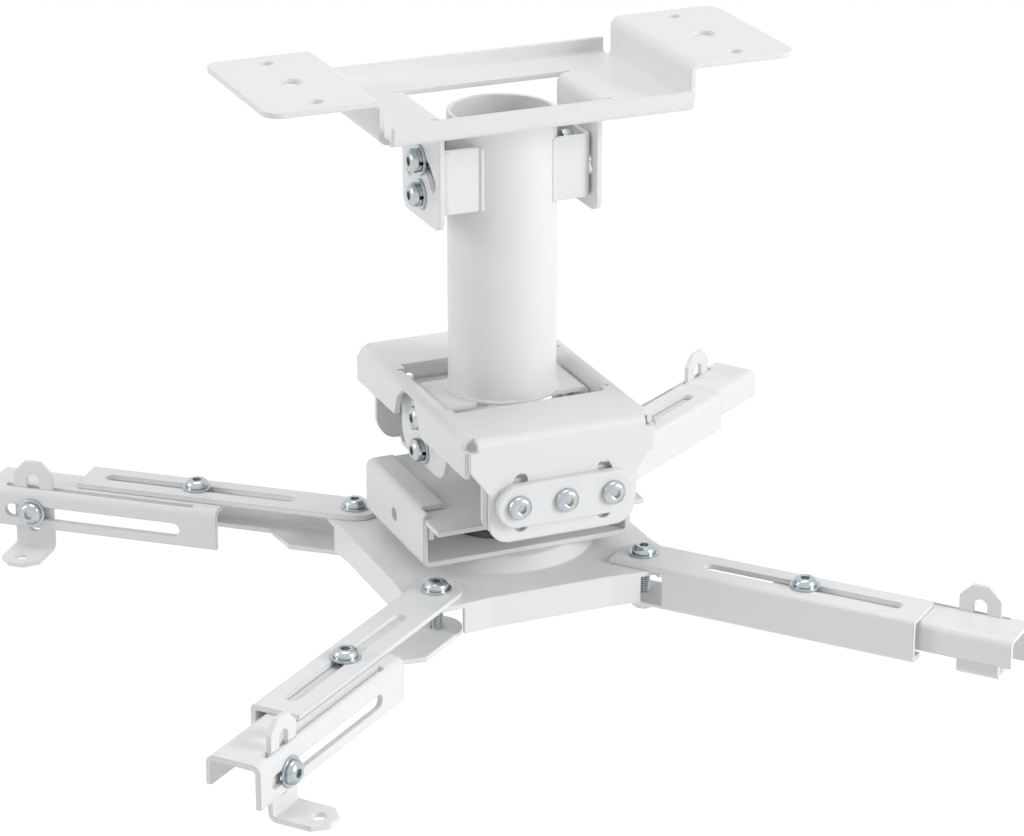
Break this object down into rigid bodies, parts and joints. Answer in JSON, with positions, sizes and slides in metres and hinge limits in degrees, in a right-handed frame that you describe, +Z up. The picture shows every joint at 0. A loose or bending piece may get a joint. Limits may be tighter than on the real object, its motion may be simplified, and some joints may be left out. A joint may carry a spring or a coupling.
{
  "type": "projector ceiling mount",
  "caption": "Ceiling mount for a projector: folded steel plate, short drop tube, tilt and roll frame, slide rail and four telescopic arms with foot brackets.",
  "frame": {"origin": "centre of the four ceiling fixing holes, on the ceiling face of the top plate", "axes": "+Z up into the ceiling, X along the ceiling plate to the right, +Y to the rear"},
  "size_m": [0.414, 0.3734, 0.267],
  "materials": {
    "white_paint": "white powder coat, satin gloss",
    "zinc": "bright zinc plate",
    "dark_steel": "dark zinc plate",
    "black_pad": "matt black fibre washer"
  },
  "bodies": {
    "ceiling": {"ceiling_plate": "white_paint"},
    "column": {"drop_tube": "white_paint", "tube_bracket_left": "white_paint", "tube_bracket_right": "white_paint", "lower_saddle": "white_paint", "ceiling_tilt_screws": "zinc", "ceiling_tilt_washers": "zinc", "ceiling_spring_washers": "zinc", "ceiling_tilt_nuts": "zinc", "frame_tilt_screws": "zinc", "frame_tilt_washers": "zinc", "frame_spring_washers": "zinc", "frame_tilt_nuts": "zinc"},
    "frame": {"tilt_frame": "white_paint"},
    "yoke": {"yoke": "white_paint", "roll_strap_front": "white_paint", "roll_strap_rear": "white_paint", "roll_pad_front": "black_pad", "roll_pad_rear": "black_pad", "roll_screws_front": "zinc", "roll_screws_rear": "zinc", "roll_nuts_front": "zinc", "roll_nuts_rear": "zinc"},
    "rail": {"slide_rail": "white_paint", "swivel_disc": "dark_steel", "swivel_bolt": "dark_steel", "swivel_nut": "dark_steel"},
    "spider": {"spider_plate": "white_paint"},
    "outer_front_left": {"outer_arm_front_left": "white_paint", "pivot_screw_front_left": "zinc"},
    "inner_front_left": {"inner_arm_front_left": "white_paint", "clamp_screw_front_left": "zinc"},
    "clamp_front_left": {"foot_screw_front_left": "zinc"},
    "foot_front_left": {"foot_bracket_front_left": "white_paint"},
    "outer_front_right": {"outer_arm_front_right": "white_paint", "pivot_screw_front_right": "zinc"},
    "inner_front_right": {"inner_arm_front_right": "white_paint", "clamp_screw_front_right": "zinc"},
    "clamp_front_right": {"foot_screw_front_right": "zinc"},
    "foot_front_right": {"foot_bracket_front_right": "white_paint"},
    "outer_rear_left": {"outer_arm_rear_left": "white_paint", "pivot_screw_rear_left": "zinc"},
    "inner_rear_left": {"inner_arm_rear_left": "white_paint", "clamp_screw_rear_left": "zinc"},
    "clamp_rear_left": {"foot_screw_rear_left": "zinc"},
    "foot_rear_left": {"foot_bracket_rear_left": "white_paint"},
    "outer_rear_right": {"outer_arm_rear_right": "white_paint", "pivot_screw_rear_right": "zinc"},
    "inner_rear_right": {"inner_arm_rear_right": "white_paint", "clamp_screw_rear_right": "zinc"},
    "clamp_rear_right": {"foot_screw_rear_right": "zinc"},
    "foot_rear_right": {"foot_bracket_rear_right": "white_paint"}
  },
  "joints": [
    {"name": "column_tilt", "type": "hinge", "parent": "ceiling", "child": "column", "pos_m": [0, 0, -0.059], "axis": [1, 0, 0], "range_deg": [-60, 60]},
    {"name": "frame_tilt", "type": "hinge", "parent": "column", "child": "frame", "pos_m": [0, 0, -0.1825], "axis": [1, 0, 0], "range_deg": [-12, 12]},
    {"name": "frame_roll", "type": "hinge", "parent": "frame", "child": "yoke", "pos_m": [0, 0, -0.1855], "axis": [0, 1, 0], "range_deg": [-12, 12]},
    {"name": "rail_slide", "type": "slide", "parent": "yoke", "child": "rail", "axis": [0, 1, 0], "range_m": [0, 0.06]},
    {"name": "spider_swivel", "type": "hinge", "parent": "rail", "child": "spider", "pos_m": [0, 0.006, -0.2285], "axis": [0, 0, 1], "continuous": true},
    {"name": "swing_front_left", "type": "hinge", "parent": "spider", "child": "outer_front_left", "pos_m": [-0.052, -0.046, -0.2325], "axis": [0, 0, 1], "range_deg": [-33.8, 46.2]},
    {"name": "extend_front_left", "type": "slide", "parent": "outer_front_left", "child": "inner_front_left", "axis": [-0.7793, -0.6266, 0], "range_m": [-0.04, 0.038]},
    {"name": "shift_front_left", "type": "slide", "parent": "inner_front_left", "child": "clamp_front_left", "axis": [-0.7793, -0.6266, 0], "range_m": [-0.07, 0]},
    {"name": "lift_front_left", "type": "slide", "parent": "clamp_front_left", "child": "foot_front_left", "axis": [0, 0, 1], "range_m": [-0.013, 0.006]},
    {"name": "swing_front_right", "type": "hinge", "parent": "spider", "child": "outer_front_right", "pos_m": [0.052, -0.046, -0.2325], "axis": [0, 0, 1], "range_deg": [-34.5, 45.5]},
    {"name": "extend_front_right", "type": "slide", "parent": "outer_front_right", "child": "inner_front_right", "axis": [0.6361, -0.7716, 0], "range_m": [-0.04, 0.038]},
    {"name": "shift_front_right", "type": "slide", "parent": "inner_front_right", "child": "clamp_front_right", "axis": [0.6361, -0.7716, 0], "range_m": [-0.07, 0]},
    {"name": "lift_front_right", "type": "slide", "parent": "clamp_front_right", "child": "foot_front_right", "axis": [0, 0, 1], "range_m": [-0.013, 0.006]},
    {"name": "swing_rear_left", "type": "hinge", "parent": "spider", "child": "outer_rear_left", "pos_m": [-0.052, 0.058, -0.2325], "axis": [0, 0, 1], "range_deg": [-45, 35]},
    {"name": "extend_rear_left", "type": "slide", "parent": "outer_rear_left", "child": "inner_rear_left", "axis": [-0.766, 0.6428, 0], "range_m": [-0.04, 0.038]},
    {"name": "shift_rear_left", "type": "slide", "parent": "inner_rear_left", "child": "clamp_rear_left", "axis": [-0.766, 0.6428, 0], "range_m": [-0.07, 0]},
    {"name": "lift_rear_left", "type": "slide", "parent": "clamp_rear_left", "child": "foot_rear_left", "axis": [0, 0, 1], "range_m": [-0.013, 0.006]},
    {"name": "swing_rear_right", "type": "hinge", "parent": "spider", "child": "outer_rear_right", "pos_m": [0.052, 0.058, -0.2325], "axis": [0, 0, 1], "range_deg": [-28, 52]},
    {"name": "extend_rear_right", "type": "slide", "parent": "outer_rear_right", "child": "inner_rear_right", "axis": [0.8387, 0.5446, 0], "range_m": [-0.04, 0.038]},
    {"name": "shift_rear_right", "type": "slide", "parent": "inner_rear_right", "child": "clamp_rear_right", "axis": [0.8387, 0.5446, 0], "range_m": [-0.07, 0]},
    {"name": "lift_rear_right", "type": "slide", "parent": "clamp_rear_right", "child": "foot_rear_right", "axis": [0, 0, 1], "range_m": [-0.013, 0.006]}
  ]
}
